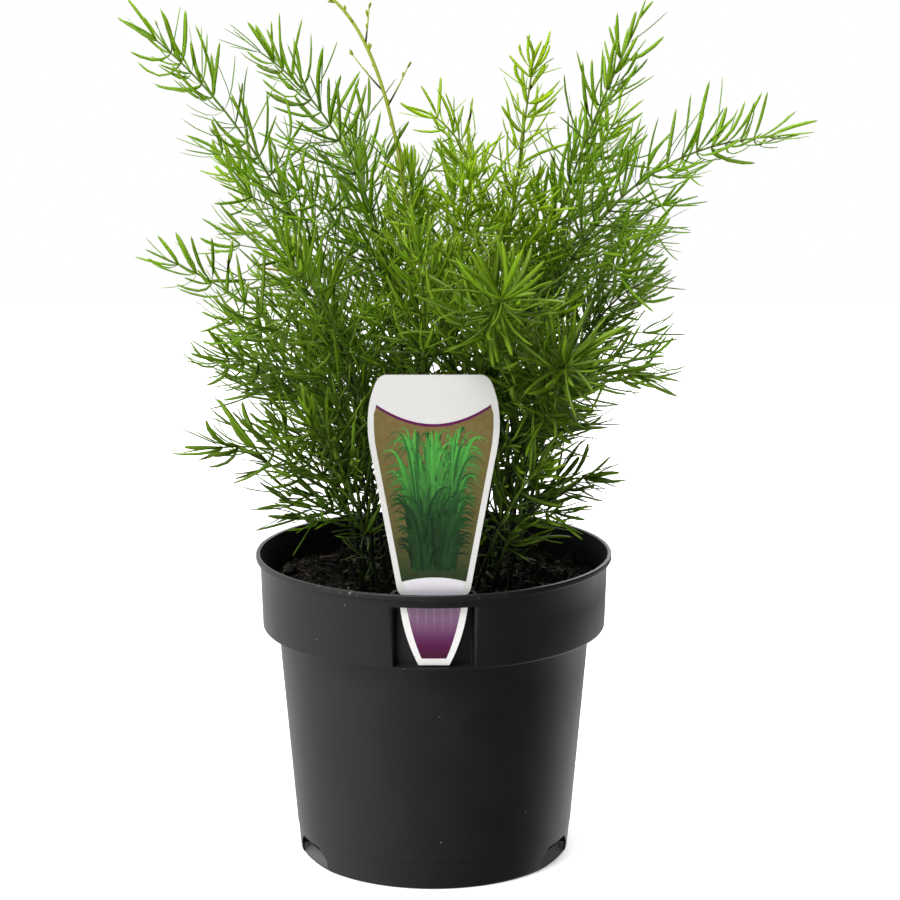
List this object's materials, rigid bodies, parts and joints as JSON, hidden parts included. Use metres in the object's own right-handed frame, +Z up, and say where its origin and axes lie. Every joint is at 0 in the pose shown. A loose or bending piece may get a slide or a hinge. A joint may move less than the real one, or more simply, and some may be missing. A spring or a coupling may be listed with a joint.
{
  "type": "foxtail fern in a pot",
  "caption": "Young foxtail fern: feathery arching fronds with needle leaves, rising from potting mix in a black plastic nursery pot with a plant label in its slot.",
  "frame": {"origin": "centre of the pot's flat foot, where it rests", "axes": "+Z up along the pot's axis; the front, with the plant label, faces -Y; +X to the right seen from the front"},
  "size_m": [0.2896, 0.2373, 0.418],
  "materials": {
    "pot_plastic": "satin",
    "potting_mix": "matte",
    "label_sheet": "satin",
    "foliage": "satin",
    "young_foliage": "satin"
  },
  "bodies": {
    "root": {"pot": "pot_plastic", "soil": "potting_mix", "plant_label": "label_sheet", "frond_01": "foliage", "frond_02": "foliage", "frond_03": "young_foliage", "frond_04": "young_foliage", "frond_05": "young_foliage", "frond_06": "foliage", "frond_07": "foliage", "frond_08": "foliage", "frond_09": "foliage", "frond_10": "foliage", "frond_11": "foliage", "frond_12": "foliage", "frond_13": "foliage", "frond_14": "foliage", "frond_15": "foliage", "frond_16": "foliage", "frond_17": "foliage", "frond_18": "foliage", "frond_19": "foliage", "frond_20": "foliage", "frond_21": "foliage", "frond_22": "foliage", "frond_23": "foliage", "frond_24": "foliage", "frond_25": "foliage", "frond_26": "foliage", "frond_27": "foliage", "frond_28": "foliage", "frond_29": "foliage", "frond_30": "foliage"}
  },
  "joints": []
}
